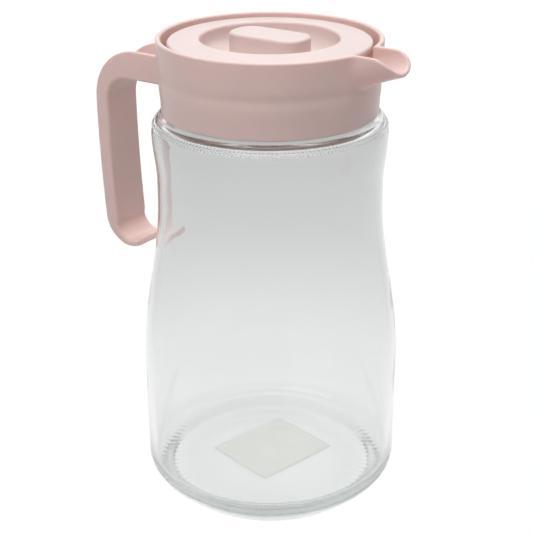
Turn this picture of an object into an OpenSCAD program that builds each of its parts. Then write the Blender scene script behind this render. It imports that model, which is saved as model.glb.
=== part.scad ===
// Glass jug with a screw-on plastic collar and a lift-out lid.
// The collar is one moulding with the spout and the handle. The lid has a sunk grip bar and a plug below.
// Millimetres, +Z up. The origin is the middle of the base on the table, +X points at the spout.

/* [Glass body] */
// Diameter of the belly, the widest part
belly_d = 119.5; // [110:0.5:128]
// Diameter of the waist, where a hand closes round the glass
waist_d = 102.4; // [92:0.2:112]
// Diameter of the shoulder below the collar, which the neck, the collar and the lid follow
shoulder_d = 106; // [98:0.5:114]
// How far the neck stands in from the shoulder
neck_inset = 10; // [9:0.1:11.5]
// Height of the belly up to where it starts to draw in
belly_h = 66; // [50:1:80]
// Rise over which the belly draws in to the waist
draw_h = 80; // [65:1:95]
// Length of the straight waist
waist_h = 8; // [2:0.5:14]
// Rise over which the waist swells to the shoulder
swell_h = 21.5; // [16:0.5:28]
// Radius of the shoulder's turn
shoulder_r = 9.5; // [8:0.5:11]
// Height of the neck above the shoulder
neck_h = 15; // [12:0.5:18]
// Thickness of the side wall
glass_wall = 3.5; // [3:0.1:4]
// Thickness of the glass over the foot ring
floor_t = 12.5; // [10:0.5:14]
// Rise of the inner floor towards its middle
floor_crown = 0.5; // [0.3:0.1:1]
// How far the foot ring stands in from the belly
foot_inset = 11.75; // [9:0.25:14]
// Width of the foot ring
foot_w = 1.6; // [1.4:0.1:2.4]
// Height of the hollow pushed up under the base
punt_h = 2.4; // [1.8:0.1:3]
// Angle of the heel's slope from the vertical
heel_angle = 47; // [40:1:55]
// Radius between the heel's slope and the belly
heel_r = 13; // [9:0.5:16]
// Radius in the corner of the inner floor
floor_r = 4.8; // [3.6:0.1:7]

/* [Collar] */
// Height of the rim above the glass neck
rim_rise = 18; // [16:0.5:20]
// How far the lower edge stands in from the glass shoulder
collar_inset = 4.5; // [3:0.1:5.5]
// How far the rim stands out from the lower edge
rim_flare = 1.5; // [0.5:0.1:3]
// Wall of the collar
collar_wall = 2.4; // [2:0.1:2.8]
// Thickness of the deck that presses on the neck ring
deck_t = 2; // [1.6:0.1:2.6]
// Wall of the throat tube that hangs in the neck
throat_wall = 1.7; // [1.4:0.1:2]
// Depth of the throat tube below the deck
throat_h = 8; // [6:0.5:10]
// Wall of the cup that guides the lid above the deck
guide_wall = 2; // [1.6:0.1:2.4]
// Depth of the soft groove that runs round the outside
groove_depth = 0.35; // [0.2:0.05:0.6]
// Height of the groove's middle below the rim
groove_drop = 14.5; // [12:0.5:17]
// Width of the groove
groove_w = 3; // [2:0.5:4]

/* [Spout] */
// Width over the side walls
spout_w = 21; // [18:0.5:24]
// Reach of the lip beyond the rim
spout_l = 18; // [14:0.5:24]
// Height of the spout's floor above the deck, where it leaves the collar
spout_sill = 0.1; // [0:0.1:1]
// Angle at which the floor rises towards the lip
spout_angle = 20; // [16:1:24]
// Radius of the side walls' fall to the lip, seen from the side
nose_r = 11.5; // [9:0.5:13]
// Wall of the spout
spout_wall = 2; // [1.6:0.1:2.4]

/* [Handle] */
// Width of the strap
handle_w = 22; // [19:0.5:26]
// Reach of the handle beyond the rim
handle_l = 44.2; // [40:0.1:52]
// Height of the handle from the top of its arm to its lowest point
handle_h = 98.3; // [90:0.5:105]
// Drop of the arm's top below the rim
arm_drop = 14.7; // [13:0.1:16]
// Depth of the arm where it leaves the collar
arm_h = 13.7; // [12:0.1:15]
// Depth of the grip, from its inner face to the edges of its flanges
grip_t = 7.4; // [6:0.1:9]
// How far the grip bows in towards its lower end
grip_bow = 2.5; // [0:0.1:4]
// Radius of the outer upper corner
corner_r = 25; // [20:0.5:28]
// Radius of the inner upper corner
gap_r = 12; // [8:0.5:14]
// Radius of the outer lower bend
tail_r = 14.5; // [12:0.5:17]
// Thickness of the tail
tail_t = 2.6; // [2.2:0.1:3.2]
// Slope at which the tail runs up to the glass
tail_angle = 32; // [25:1:38]
// Thickness of the strap's web
web_t = 2.4; // [2:0.1:3]
// Thickness of the flanges along its two sides
flange_t = 2.3; // [1.8:0.1:3]
// Rounding along the edges that the fingers meet
edge_r = 1.6; // [1:0.1:2]

/* [Lid] */
// How far the lid's edge stands in from the outside of the rim
lid_inset = 5; // [4:0.1:6]
// Thickness of the disc
lid_t = 2.8; // [2.4:0.1:3.4]
// Drop of the disc's edge below the rim
lid_drop = 1.6; // [1:0.1:2.2]
// Rise of the disc from its edge to the recess
lid_crown = 1; // [0.5:0.1:1.4]
// Width of the flat disc round the finger recess
recess_inset = 14.5; // [13:0.5:17]
// Depth of the finger recess
recess_h = 10; // [7:0.5:11]
// Radius at the foot of the recess's side
recess_r = 7; // [4:0.5:9]
// Length of the grip bar
bar_l = 37.5; // [34:0.5:44]
// Width of the grip bar
bar_w = 19.5; // [16:0.5:22]
// Radius of the grip bar's corners
bar_r = 8; // [5:0.5:9]
// Height of the grip bar's top above the rim
bar_rise = 0.9; // [0.2:0.1:2]
// Wall of the lid's recess and bar
lid_wall = 2; // [1.6:0.1:2.4]

/* [Plug and seals] */
// Wall of the plug
plug_wall = 1.8; // [1.5:0.1:2.2]
// Width of the pouring window
window_w = 22; // [18:1:28]
// Number of slots in the strainer
slot_count = 9; // [5:1:11]
// Width of one slot
slot_w = 1.6; // [1.2:0.1:2]
// Height of the lid's seal ring
seal_h = 3.2; // [2.4:0.1:4]
// Radial thickness of the lid's seal ring
seal_t = 1.5; // [1.2:0.1:1.8]
// Thickness of the neck ring
ring_t = 1.4; // [1.2:0.1:2]
// Width of the neck ring
ring_w = 2.8; // [2:0.1:3]
// Thickness of the paper label under the base
label_t = 0.25; // [0.15:0.05:0.4]
// Turn of the label to the right of the spout's direction, in degrees
label_turn = 13; // [0:1:45]

/* [Hidden] */
pink = [0.93, 0.78, 0.76];
silicone = [0.93, 0.93, 0.91];
clear_glass = [0.82, 0.88, 0.87, 0.35];
paper = [0.95, 0.95, 0.94];
round_fn = 180;
trough_fn = 96;
bar_fn = 64;
arc_steps = 10;
edge_steps = 4;
flange_steps = 3;
lip_steps = 12;
corner_steps = 12;
// Running clearance between pieces that turn or slide on each other
run_gap = 0.3;
// Clearance between the lid plug and the cup that guides it
guide_gap = 0.4;
// Layer of adhesive over the label
label_gap = 0.03;
// Overrun of a cut past the face that it opens
over = 1;
// Rounding of the foot ring's outer edge, as a share of the ring's width
foot_edge_share = 0.35;
// Least root radius of the neck, as a share of the glass wall
neck_root_share = 0.15;
// Width, length and place of the label, as shares of the inside diameter of the foot ring
label_w_share = 0.415;
label_l_share = 0.48;
label_x_share = -0.037;
label_y_share = 0.065;
// Shape of the hollow under the base, higher is flatter in the middle
punt_curve = 4;
// Rounding of the collar's rim and the lid's edge, as shares of their walls
rim_round_share = 0.4;
lid_round_share = 0.45;
// Share of the seal that stands out of its groove, and its height as a share of the throat's depth
seal_proud_share = 0.33;
seal_rise_share = 0.25;
// Wall of the plug's tube behind the groove, as a share of the plug's wall
tube_wall_share = 0.8;
// Wall and height of the lid's locating skirt, as shares of the lid's wall
skirt_wall_share = 0.75;
skirt_rise_share = 1.5;
// Most that the web and the edge roundings may take of the strap's depth where it runs thin
web_share = 0.8;
edge_share = 0.45;
flange_round_share = 0.4;
flange_rise_share = 0.6;
// How far the lower bend's inner arc draws in, as shares of the grip's depth
bend_draw_share = 0.13;
bend_shift_share = 0.1;
// How deep the strap is rooted in the collar's wall, as a share of that wall
strap_root_share = 0.58;

// Points on an arc about (cx, cz), from angle a0 to angle a1
function arc(cx, cz, r, a0, a1, n = arc_steps) =
    [for (i = [0:n]) let (a = a0 + (a1 - a0) * i / n) [cx + r * cos(a), cz + r * sin(a)]];
// Smooth share from 0 to 1, level at both ends
function ease(t) = (1 - cos(180 * t)) / 2;

// Glass outline
belly_r = belly_d / 2;
waist_r = waist_d / 2;
side_r = shoulder_d / 2;
neck_r = side_r - neck_inset;
neck_in_r = neck_r - glass_wall;
foot_r = belly_r - foot_inset;
foot_in_r = foot_r - foot_w;
foot_edge_r = foot_w * foot_edge_share;
heel_top_r = belly_r - heel_r * (1 - cos(heel_angle));
heel_arc_z = heel_r * sin(heel_angle) + (heel_top_r - foot_r) / tan(heel_angle);
waist_z = belly_h + draw_h;
swell_z = waist_z + waist_h;
shoulder_z = swell_z + swell_h;
shoulder_top_z = shoulder_z + shoulder_r;
glass_h = shoulder_top_z + neck_h;
shoulder_c_r = side_r - shoulder_r;
neck_root_r = max(shoulder_c_r - neck_r, glass_wall * neck_root_share);
lip_r = glass_wall / 2;
side_steps = 14;
punt_steps = 12;
floor_steps = 8;

function side_radius(z) =
    z < belly_h ? belly_r
    : z < waist_z ? belly_r + (waist_r - belly_r) * ease((z - belly_h) / draw_h)
    : z < swell_z ? waist_r
    : waist_r + (side_r - waist_r) * ease((z - swell_z) / swell_h);
side_z = concat(
    [for (i = [0:side_steps]) belly_h + draw_h * i / side_steps],
    [for (i = [0:side_steps - 1]) swell_z + swell_h * i / side_steps]);
function punt_z(r) = punt_h * pow(1 - pow(r / foot_in_r, punt_curve), 2);
punt_line = [for (i = [0:punt_steps]) let (r = foot_in_r * sqrt(i / punt_steps)) [r, punt_z(r)]];
floor_in_r = belly_r - glass_wall - floor_r;
function floor_z(r) = floor_t + floor_crown * (1 - pow(r / floor_in_r, 2));

// Heights of the collar and the lid
rim_z = glass_h + rim_rise;
collar_r = side_r - collar_inset;
rim_r = collar_r + rim_flare;
deck_z = glass_h + 2 * run_gap + ring_t;
deck_top_z = deck_z + deck_t;
throat_r = neck_in_r - guide_gap;
throat_in_r = throat_r - throat_wall;
throat_z = deck_z - throat_h;
collar_in_r = collar_r - collar_wall;
// The lower edge stands just over the glass shoulder
collar_z = shoulder_z + sqrt(pow(shoulder_r, 2) - pow(max(collar_in_r - shoulder_c_r, 0), 2)) + run_gap;
collar_h = rim_z - collar_z;
groove_z = rim_z - groove_drop;
rim_round = collar_wall * rim_round_share;
function collar_radius(z) =
    collar_r + (rim_r - collar_r) * (z - collar_z) / collar_h
    - groove_depth * exp(-pow((z - groove_z) / (groove_w / 2), 2));
collar_steps = 24;
spout_in_depth = rim_z - deck_top_z - spout_sill;
spout_depth = spout_in_depth + spout_wall / cos(spout_angle);
spout_reach = rim_r + spout_l;
handle_reach = rim_r + handle_l;

lid_r = rim_r - lid_inset;
lid_edge_z = rim_z - lid_drop;
lid_top_z = lid_edge_z + lid_crown;
lid_under_z = lid_edge_z - lid_t;
recess_edge_r = lid_r - recess_inset;
recess_z = lid_top_z - recess_h;
bar_top_z = rim_z + bar_rise;
lid_round = lid_t * lid_round_share;

// The guide cup stops just under the disc, the plug turns inside it
guide_top_z = lid_under_z - run_gap;
guide_in_r = throat_r + throat_wall + run_gap;
guide_r = guide_in_r + guide_wall;
plug_r = guide_in_r - guide_gap;
plug_in_r = plug_r - plug_wall;
plug_step_z = deck_top_z + run_gap;
tube_r = throat_in_r - run_gap - seal_t * seal_proud_share;
seal_r = throat_in_r - run_gap;
seal_in_r = seal_r - seal_t;
groove_r = seal_in_r - run_gap;
tube_in_r = groove_r - plug_wall * tube_wall_share;
seal_z = throat_z + throat_h * seal_rise_share;
window_z = plug_step_z + plug_wall;
window_top_z = lid_under_z - plug_wall;

// Everything of the jar that is glass, turned about its axis
module glass_body() {
    shoulder_in_r = shoulder_r - glass_wall;
    neck_turn_r = shoulder_c_r - neck_in_r;
    outer = concat(
        punt_line,
        arc(foot_r - foot_edge_r, foot_edge_r, foot_edge_r, -90, -heel_angle, edge_steps),
        arc(belly_r - heel_r, heel_arc_z, heel_r, -heel_angle, 0),
        [for (z = side_z) [side_radius(z), z]],
        arc(shoulder_c_r, shoulder_z, shoulder_r, 0, 90),
        arc(neck_r + neck_root_r, shoulder_top_z + neck_root_r, neck_root_r, 270, 180, edge_steps),
        arc(neck_r - lip_r, glass_h - lip_r, lip_r, 0, 180, lip_steps));
    inner = concat(
        arc(shoulder_c_r, shoulder_z + shoulder_in_r + neck_turn_r, neck_turn_r, 180, 270, edge_steps),
        arc(shoulder_c_r, shoulder_z, shoulder_in_r, 90, 0),
        [for (i = [len(side_z) - 1:-1:0]) [side_radius(side_z[i]) - glass_wall, side_z[i]]],
        arc(floor_in_r, floor_t + floor_r, floor_r, 0, -90),
        [for (i = [floor_steps - 1:-1:0]) let (r = floor_in_r * i / floor_steps) [r, floor_z(r)]]);
    color(clear_glass)
        rotate_extrude($fn = round_fn)
            polygon(concat(outer, inner));
}

// Flat silicone ring between the glass neck and the collar's deck
module neck_ring() {
    ring_mid_r = neck_r - glass_wall / 2;
    color(silicone)
        translate([0, 0, glass_h + run_gap])
            difference() {
                cylinder(h = ring_t, r = ring_mid_r + ring_w / 2, $fn = round_fn);
                translate([0, 0, -over])
                    cylinder(h = ring_t + 2 * over, r = ring_mid_r - ring_w / 2, $fn = round_fn);
            }
}

// Section of the collar ring with its deck, throat tube and guide cup
module collar_ring() {
    inner_top_r = rim_r - collar_wall;
    deck_wall_r = collar_radius(deck_z) - collar_wall;
    outside = [for (i = [0:collar_steps]) let (z = collar_z + (collar_h - rim_round) * i / collar_steps)
        [collar_radius(z), z]];
    rotate_extrude($fn = round_fn)
        polygon(concat(
            outside,
            arc(rim_r - rim_round, rim_z - rim_round, rim_round, 0, 90, edge_steps),
            arc(inner_top_r + rim_round, rim_z - rim_round, rim_round, 90, 180, edge_steps),
            [[deck_wall_r, deck_top_z], [guide_r, deck_top_z], [guide_r, guide_top_z],
             [guide_in_r, guide_top_z], [guide_in_r, deck_top_z], [throat_in_r, deck_top_z],
             [throat_in_r, throat_z], [throat_r, throat_z], [throat_r, deck_z],
             [deck_wall_r, deck_z], [collar_in_r, collar_z]]));
}

// A trough with a round floor, rising outwards from the collar, level with the rim
module trough(r, floor_drop) {
    start_r = collar_radius(rim_z - spout_depth) - collar_wall;
    intersection() {
        translate([start_r, 0, rim_z - floor_drop])
            rotate([0, -spout_angle, 0])
                translate([0, 0, r])
                    rotate([90, 0, 90])
                        translate([0, 0, -r])
                            linear_extrude(height = spout_reach)
                                union() {
                                    circle(r = r, $fn = trough_fn);
                                    translate([-r, 0])
                                        square([2 * r, spout_depth + spout_reach]);
                                }
        children();
    }
}

// Side outline of the spout: level with the rim, then round down to the lip
module spout_side(from_r, top) {
    nose_c = spout_reach - nose_r;
    rotate([90, 0, 0])
        linear_extrude(height = 2 * spout_w, center = true)
            polygon(concat(
                [[from_r, rim_z - 2 * spout_depth], [spout_reach + top, rim_z - 2 * spout_depth]],
                arc(nose_c, rim_z - nose_r, nose_r + top, 0, 90, corner_steps),
                [[from_r, rim_z + top]]));
}

module spout_outer() {
    root_r = collar_radius(rim_z - spout_depth) - collar_wall / 2;
    trough(spout_w / 2, spout_depth)
        spout_side(root_r, 0);
}

module spout_inner() {
    trough(spout_w / 2 - spout_wall, spout_in_depth)
        spout_side(guide_r + run_gap, over);
}

// Opening in the guide cup that the plug's window meets, so that the jug pours
module pour_gate() {
    translate([0, -window_w / 2, deck_top_z])
        cube([guide_r + over, window_w, collar_h]);
}

// Rounded channel section: u runs across the strap, v from the inner face out to the flanges' edges
function strap_section(d) =
    let (w = handle_w / 2,
         web = min(web_t, d * web_share),
         r = min(edge_r, d * edge_share),
         t = min(flange_t * flange_round_share, (d - web) * flange_rise_share))
    concat(
        arc(r - w, r, r, 180, 270, edge_steps),
        arc(w - r, r, r, 270, 360, edge_steps),
        arc(w - t, d - t, t, 0, 90, flange_steps),
        arc(w - flange_t + t, d - t, t, 90, 180, flange_steps),
        [[w - flange_t, web], [flange_t - w, web]],
        arc(flange_t - w - t, d - t, t, 0, 90, flange_steps),
        arc(t - w, d - t, t, 90, 180, flange_steps));

// Stations along the strap, each a point on its inner face and the matching point on its outer edge
arm_top_z = rim_z - arm_drop;
arm_under_z = arm_top_z - arm_h;
grip_x = handle_reach - grip_t;
tail_z = arm_top_z - handle_h + tail_r;
tail_x = handle_reach - grip_bow - tail_r;
bend_r = tail_r - (grip_t + tail_t) / 2 - grip_t * bend_draw_share;
bend_x = tail_x - grip_t * bend_shift_share;
bend_z = tail_z - tail_r + tail_t + bend_r;
grip_steps = 8;
bend_steps = 14;
root_x = collar_radius(arm_under_z) - collar_wall * strap_root_share;
function bowed(x, t) = x - grip_bow * pow(t, 2);
grip_lean = atan(2 * grip_bow / (arm_top_z - corner_r - tail_z));
tail_out = arc(-tail_x, tail_z, tail_r, 180 + grip_lean, 270 + tail_angle, bend_steps);
tail_in = arc(-bend_x, bend_z, bend_r, 180 + grip_lean, 270 + tail_angle, bend_steps);
tail_end_x = side_radius(tail_z) + 2 * run_gap;
tail_run = (-tail_end_x - tail_out[bend_steps][0]) / cos(tail_angle);
tail_in_run = (-tail_end_x - tail_in[bend_steps][0]) / cos(tail_angle) - tail_t * tan(tail_angle);
tail_step = [cos(tail_angle), sin(tail_angle)];
strap_in = concat(
    [[-root_x, arm_under_z]],
    arc(gap_r - grip_x, arm_under_z - gap_r, gap_r, 90, 180, corner_steps),
    [for (i = [1:grip_steps]) let (t = i / grip_steps)
        [-bowed(grip_x, t), arm_under_z - gap_r + (bend_z - arm_under_z + gap_r) * t]],
    [for (i = [1:bend_steps]) tail_in[i]],
    [tail_in[bend_steps] + tail_in_run * tail_step]);
strap_out = concat(
    [[-root_x, arm_top_z]],
    arc(corner_r - handle_reach, arm_top_z - corner_r, corner_r, 90, 180, corner_steps),
    [for (i = [1:grip_steps]) let (t = i / grip_steps)
        [-bowed(handle_reach, t), arm_top_z - corner_r + (tail_z - arm_top_z + corner_r) * t]],
    [for (i = [1:bend_steps]) tail_out[i]],
    [tail_out[bend_steps] + tail_run * tail_step]);

module handle_strap() {
    rings = len(strap_in);
    size = len(strap_section(grip_t));
    points = [for (k = [0:rings - 1])
        let (a = strap_in[k], b = strap_out[k], d = norm(b - a), n = (b - a) / d)
        for (p = strap_section(d)) [a[0] + n[0] * p[1], p[0], a[1] + n[1] * p[1]]];
    sides = [for (k = [0:rings - 2], j = [0:size - 1])
        let (m = (j + 1) % size)
        [k * size + j, k * size + m, (k + 1) * size + m, (k + 1) * size + j]];
    polyhedron(
        points = points,
        faces = concat(
            sides,
            [[for (j = [size - 1:-1:0]) j]],
            [[for (j = [0:size - 1]) (rings - 1) * size + j]]),
        convexity = 6);
}

// Screw collar, spout and handle, moulded in one
module collar() {
    color(pink) {
        difference() {
            union() {
                collar_ring();
                spout_outer();
            }
            spout_inner();
            pour_gate();
        }
        handle_strap();
    }
}

// Outline of the grip bar seen from above
module bar_outline(inset) {
    l = bar_l / 2 - bar_r;
    w = bar_w / 2 - bar_r;
    square([2 * (l + bar_r - inset), 2 * w], center = true);
    square([2 * l, 2 * (w + bar_r - inset)], center = true);
    for (sx = [-1, 1], sy = [-1, 1])
        translate([sx * l, sy * w])
            circle(r = bar_r - inset, $fn = bar_fn);
}

// Disc with its round finger recess and the hollow grip bar that stands in it
module lid_cover() {
    skirt_r = plug_in_r - run_gap;
    skirt_in_r = skirt_r - lid_wall * skirt_wall_share;
    skirt_z = lid_under_z - lid_wall * skirt_rise_share;
    under_r = recess_r + lid_wall;
    edge = recess_edge_r + lid_round;
    color(pink)
        difference() {
            union() {
                rotate_extrude($fn = round_fn)
                    polygon(concat(
                        [[0, recess_z], [recess_edge_r - recess_r, recess_z]],
                        arc(recess_edge_r - recess_r, recess_z + recess_r, recess_r, -90, 0, arc_steps),
                        arc(edge, lid_top_z - lid_round, lid_round, 180, 90, edge_steps),
                        arc(lid_r - lid_round, lid_edge_z - lid_round, lid_round, 90, 0, edge_steps),
                        [[lid_r, lid_under_z], [skirt_r, lid_under_z], [skirt_r, skirt_z],
                         [skirt_in_r, skirt_z], [skirt_in_r, lid_under_z],
                         [recess_edge_r + lid_wall, lid_under_z]],
                        arc(recess_edge_r - recess_r, recess_z + recess_r, under_r, 0, -90, arc_steps),
                        [[0, recess_z - lid_wall]]));
                translate([0, 0, recess_z - lid_wall / 2])
                    linear_extrude(height = bar_top_z - recess_z + lid_wall / 2)
                        bar_outline(0);
            }
            translate([0, 0, recess_z - lid_wall - over])
                linear_extrude(height = bar_top_z - recess_z + over)
                    bar_outline(lid_wall);
        }
}

// Hollow plug below the disc, with the pouring window on one side and the strainer on the other
module lid_plug() {
    slot_pitch = 2 * slot_w;
    strainer_w = slot_count * slot_pitch;
    window_h = window_top_z - window_z;
    window_x = sqrt(pow(plug_in_r, 2) - pow(window_w / 2, 2)) - over;
    strainer_x = sqrt(pow(plug_in_r, 2) - pow(strainer_w / 2, 2)) - over;
    color(pink)
        difference() {
            rotate_extrude($fn = round_fn)
                polygon([
                    [plug_in_r, lid_under_z], [plug_in_r, plug_step_z + plug_wall],
                    [tube_in_r, plug_step_z + plug_wall], [tube_in_r, throat_z],
                    [tube_r, throat_z], [tube_r, seal_z - run_gap], [groove_r, seal_z - run_gap],
                    [groove_r, seal_z + seal_h + run_gap], [tube_r, seal_z + seal_h + run_gap],
                    [tube_r, plug_step_z], [plug_r, plug_step_z], [plug_r, lid_under_z]]);
            translate([window_x, -window_w / 2, window_z])
                cube([plug_r - window_x + over, window_w, window_h]);
            for (i = [0:slot_count - 1])
                translate([-plug_r - over, (i - (slot_count - 1) / 2) * slot_pitch - slot_w / 2, window_z])
                    cube([plug_r - strainer_x + over, slot_w, window_h]);
        }
}

// Silicone ring that seals the plug in the throat tube
module lid_seal() {
    color(silicone)
        translate([0, 0, seal_z])
            difference() {
                cylinder(h = seal_h, r = seal_r, $fn = round_fn);
                translate([0, 0, -over])
                    cylinder(h = seal_h + 2 * over, r = seal_in_r, $fn = round_fn);
            }
}

// Blank paper label stuck in the hollow of the base, which it follows, a little off the middle
module base_label() {
    foot_in_d = 2 * foot_in_r;
    label_size = foot_in_d * [label_w_share, label_l_share];
    label_place = foot_in_d * [label_x_share, label_y_share];
    label_drop = label_gap + label_t;
    color(paper)
        intersection() {
            rotate_extrude($fn = round_fn)
                polygon(concat(
                    [for (p = punt_line) p - [0, label_gap]],
                    [for (i = [punt_steps:-1:0]) punt_line[i] - [0, label_drop]]));
            translate([label_place[0], label_place[1], -over])
                rotate([0, 0, -label_turn])
                    translate(-label_size / 2)
                        cube([label_size[0], label_size[1], punt_h + 2 * over]);
        }
}

glass_body();
neck_ring();
collar();
lid_cover();
lid_plug();
lid_seal();
base_label();
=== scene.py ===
import bpy
import math
import numpy as np
from mathutils import Euler, Matrix


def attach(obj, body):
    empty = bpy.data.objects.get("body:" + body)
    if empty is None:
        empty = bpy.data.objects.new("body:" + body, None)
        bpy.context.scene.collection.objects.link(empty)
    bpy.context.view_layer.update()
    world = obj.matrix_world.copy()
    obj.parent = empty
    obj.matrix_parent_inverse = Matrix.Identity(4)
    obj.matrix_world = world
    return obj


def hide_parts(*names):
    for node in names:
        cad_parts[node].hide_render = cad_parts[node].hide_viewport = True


# glass jug with a pink screw collar that carries the spout and the strap handle, and a lift-out lid
# shapes are worked out in millimetres, +Z up, +X at the spout, and go into the meshes in metres
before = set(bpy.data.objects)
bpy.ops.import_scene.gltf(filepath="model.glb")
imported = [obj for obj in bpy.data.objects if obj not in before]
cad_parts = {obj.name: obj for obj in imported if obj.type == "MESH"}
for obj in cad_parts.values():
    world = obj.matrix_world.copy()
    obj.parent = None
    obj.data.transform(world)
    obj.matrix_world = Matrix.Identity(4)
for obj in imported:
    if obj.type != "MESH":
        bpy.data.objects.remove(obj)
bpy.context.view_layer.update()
print("frame loaded")


# sRGB hex to linear light: c / 12.92 below 0.04045, ((c + 0.055) / 1.055) to the power 2.4 above
def toLinear(hexColour):
    level = np.array([int(hexColour[i:i + 2], 16) for i in (1, 3, 5)]) / 255
    linear = np.where(level <= 0.04045, level / 12.92, ((level + 0.055) / 1.055) ** 2.4)
    return (*(float(c) for c in linear), 1.0)


# one node with its settings; an input is a plain value, or (node, output) for a link
def addNode(tree, kind, inputs=None, **settings):
    node = tree.nodes.new(kind)
    for name, value in settings.items():
        setattr(node, name, value)
    for name, value in (inputs or {}).items():
        if isinstance(value, tuple) and isinstance(value[0], bpy.types.Node):
            tree.links.new(value[0].outputs[value[1]], node.inputs[name])
        else:
            node.inputs[name].default_value = value
    return node


# a colour ramp over a node's output; its stops are (position, colour), lowest first
def addRamp(tree, source, stops):
    node = addNode(tree, "ShaderNodeValToRGB", {"Fac": source})
    elements = node.color_ramp.elements
    elements[0].position, elements[0].color = stops[0]
    elements[1].position, elements[1].color = stops[-1]
    for position, colour in stops[1:-1]:
        elements.new(position).color = colour
    return node


# a shader for all rays but shadow rays, which meet a clear filter of one colour, so lamps shine through
def passLight(tree, shader, filterColour):
    path = addNode(tree, "ShaderNodeLightPath")
    clear = addNode(tree, "ShaderNodeBsdfTransparent", {"Color": filterColour})
    return addNode(tree, "ShaderNodeMixShader", {
        0: (path, "Is Shadow Ray"), 1: (shader, "BSDF"), 2: (clear, "BSDF")})


# an empty node tree for a material, with its output node
def startMaterial(name):
    material = bpy.data.materials.new(name)
    material.use_nodes = True
    material.node_tree.nodes.clear()
    return material, material.node_tree, addNode(material.node_tree, "ShaderNodeOutputMaterial")


# points in mm and faces become one smooth piece in metres, at the origin
def makePiece(name, points, faces, material, body, node, normals=None):
    mesh = bpy.data.meshes.new(name)
    mesh.from_pydata((np.asarray(points) / 1000).tolist(), [], faces)
    mesh.polygons.foreach_set("use_smooth", np.ones(len(mesh.polygons), bool))
    mesh.materials.append(material)
    mesh.validate()
    if normals is not None:
        mesh.normals_split_custom_set_from_vertices(np.asarray(normals).tolist())
    piece = bpy.data.objects.new(name, mesh)
    bpy.context.scene.collection.objects.link(piece)
    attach(piece, body)
    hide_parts(node)
    print("made", name, len(mesh.vertices), "points")


# a bell curve of height 1: e to the power -((value - middle) / half) squared
def bell(value, middle, half):
    return np.exp(-((value - middle) / half) ** 2)


# 1 between two limits, with ramps inside: clip((value - low) / width) times clip((high - value) / width)
def between(value, low, high, width):
    return np.clip((value - low) / width, 0, 1) * np.clip((high - value) / width, 0, 1)


# half a cosine wave, from 0 at the low end to 1 at the high end: (1 - cos(pi share)) / 2
def halfWave(value, low, high):
    return (1 - np.cos(np.pi * np.clip((value - low) / (high - low), 0, 1))) / 2


# places about the axis: (r cos a, r sin a, z)
def aboutAxis(radius, angle, height):
    return np.stack(np.broadcast_arrays(radius * np.cos(angle), radius * np.sin(angle), height), -1)


# points on an arc about (cx, cz): (cx + r cos a, cz + r sin a), a from a0 to a1 degrees
def arcPoints(cx, cz, radius, a0, a1, count=32):
    angle = np.radians(np.linspace(a0, a1, count + 1))
    return np.c_[cx + radius * np.cos(angle), cz + radius * np.sin(angle)]


# length travelled along a line of points, from 0 at its start
def travelAlong(line):
    return np.r_[0, np.cumsum(np.linalg.norm(np.diff(line, axis=0), axis=1))]


# a line's points at given distances, drawn straight between those at its own distances
def pointsAt(line, travel, at):
    return np.stack([np.interp(at, travel, column) for column in line.T], 1)


# a line at even steps in mm, each point a mean of its neighbours, both ends kept: a neighbour weighs e to
# the power -(distance / spread) squared / 2
def softenLine(line, spread, step=0.1):
    travel = travelAlong(line)
    fine = pointsAt(line, travel, np.linspace(0, travel[-1], int(travel[-1] / step) + 1))
    reach = int(4 * spread / step)
    weights = np.exp(-0.5 * (np.arange(-reach, reach + 1) * step / spread) ** 2)
    padded = np.concatenate([2 * fine[0] - fine[reach:0:-1], fine, 2 * fine[-1] - fine[-2:-reach - 2:-1]])
    return np.stack([np.convolve(column, weights / weights.sum(), "valid") for column in padded.T], 1)


# a fine line thinned to a count of points, closer together in its turns: their spacing falls as 1 / weight,
# where weight = root of (base squared + turnShare times the bend per mm), evened out over nine points
def thinLine(fine, count, base=0.06, turnShare=0.12):
    way = np.diff(fine, axis=0)
    angle = np.unwrap(np.arctan2(way[:, 1], way[:, 0]))
    length = np.linalg.norm(way, axis=1)
    bend = np.abs(np.gradient(angle)) / length
    weight = np.convolve(np.sqrt(base ** 2 + turnShare * bend), np.ones(9) / 9, "same") * length
    share = np.r_[0, np.cumsum(weight)]
    number = np.arange(len(fine))
    return pointsAt(fine, number, np.interp(np.linspace(0, share[-1], count), share, number))


# quads of a grid of rows by columns: (i, j), (i, j + 1), (i + 1, j + 1), (i + 1, j); a closed way wraps round
def gridFaces(rows, columns, closeRows=False, closeColumns=True):
    i, j = np.meshgrid(np.arange(rows if closeRows else rows - 1),
                       np.arange(columns if closeColumns else columns - 1), indexing="ij")
    i, j = i.ravel(), j.ravel()
    nextI, nextJ = (i + 1) % rows, (j + 1) % columns
    corners = (i, j), (i, nextJ), (nextI, nextJ), (nextI, j)
    return np.stack([row * columns + column for row, column in corners], 1)


# a stack of closed rings (rows, columns, 3), with a fan from the mean of its first ring and of its last ring
def closeRings(rings):
    rows, columns = rings.shape[:2]
    points = np.vstack([rings.reshape(-1, 3), rings[0].mean(axis=0), rings[-1].mean(axis=0)])
    first = np.arange(columns)
    last = first + (rows - 1) * columns
    middle = np.full(columns, rows * columns)
    faces = gridFaces(rows, columns).tolist()
    faces += np.stack([middle, np.roll(first, -1), first], 1).tolist()
    faces += np.stack([middle + 1, last, np.roll(last, -1)], 1).tolist()
    return points, faces


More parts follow.
